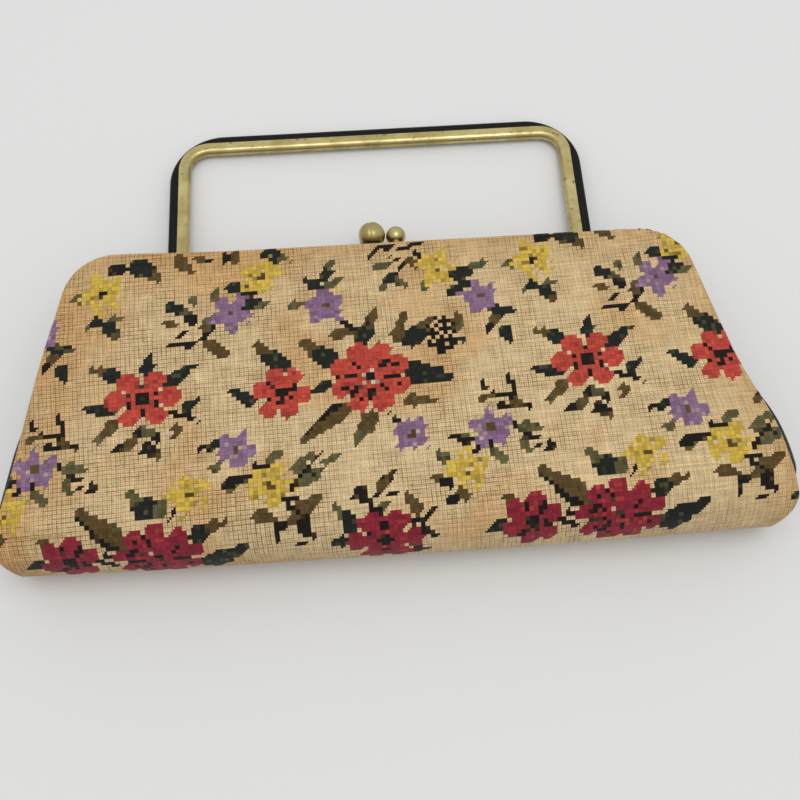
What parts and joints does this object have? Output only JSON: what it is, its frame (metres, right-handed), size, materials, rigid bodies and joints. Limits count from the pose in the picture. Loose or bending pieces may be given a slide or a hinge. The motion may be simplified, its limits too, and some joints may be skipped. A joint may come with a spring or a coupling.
{
  "type": "clutch purse",
  "caption": "Framed clutch purse in floral tapestry, with a hinged mouth closed by a ball clasp, side gussets and a swinging bail handle of brass and black vinyl.",
  "frame": {"origin": "middle of the flat back of the bag, on the surface it lies on", "axes": "+X across the bag to its right as seen from the front, +Y from the bottom fold towards the rim and the handle, +Z out of the front, up as the bag lies on its back"},
  "size_m": [0.3272, 0.2116, 0.0383],
  "materials": {
    "tapestry": "open canvas weave, aged",
    "red_wool": "wool stitches",
    "crimson_wool": "wool stitches",
    "violet_wool": "wool stitches",
    "yellow_wool": "wool stitches",
    "leaf_wool": "wool stitches",
    "board": "plain",
    "satin": "satin lining",
    "vinyl": "satin vinyl",
    "brass": "aged, brushed"
  },
  "bodies": {
    "bag": {"front_cover": "tapestry", "back_cover": "tapestry", "red_stitches": "red_wool", "crimson_stitches": "crimson_wool", "violet_stitches": "violet_wool", "yellow_stitches": "yellow_wool", "leaf_stitches": "leaf_wool", "front_board": "board", "back_board": "board", "lining": "satin", "gusset_left": "vinyl", "gusset_right": "vinyl", "frame_back": "brass", "hinge_rivet_left": "brass", "hinge_rivet_right": "brass", "clasp_back": "brass", "handle_bracket_left": "brass", "handle_bracket_right": "brass", "handle_rivet_left": "brass", "handle_rivet_right": "brass"},
    "front_frame": {"frame_front": "brass", "clasp_front": "brass"},
    "handle": {"handle_channel": "brass", "handle_inlay": "vinyl"}
  },
  "joints": [
    {"name": "frame_hinge", "type": "hinge", "parent": "bag", "child": "front_frame", "pos_m": [0, 0.02, 0.01549], "axis": [1, 0, 0], "range_deg": [0, 50], "deforming": ["front_cover", "red_stitches", "crimson_stitches", "violet_stitches", "yellow_stitches", "leaf_stitches", "front_board", "lining", "gusset_left", "gusset_right"]},
    {"name": "handle_swing", "type": "hinge", "parent": "bag", "child": "handle", "pos_m": [0, 0.0695, 0.0097], "axis": [1, 0, 0], "range_deg": [0, 60]}
  ]
}
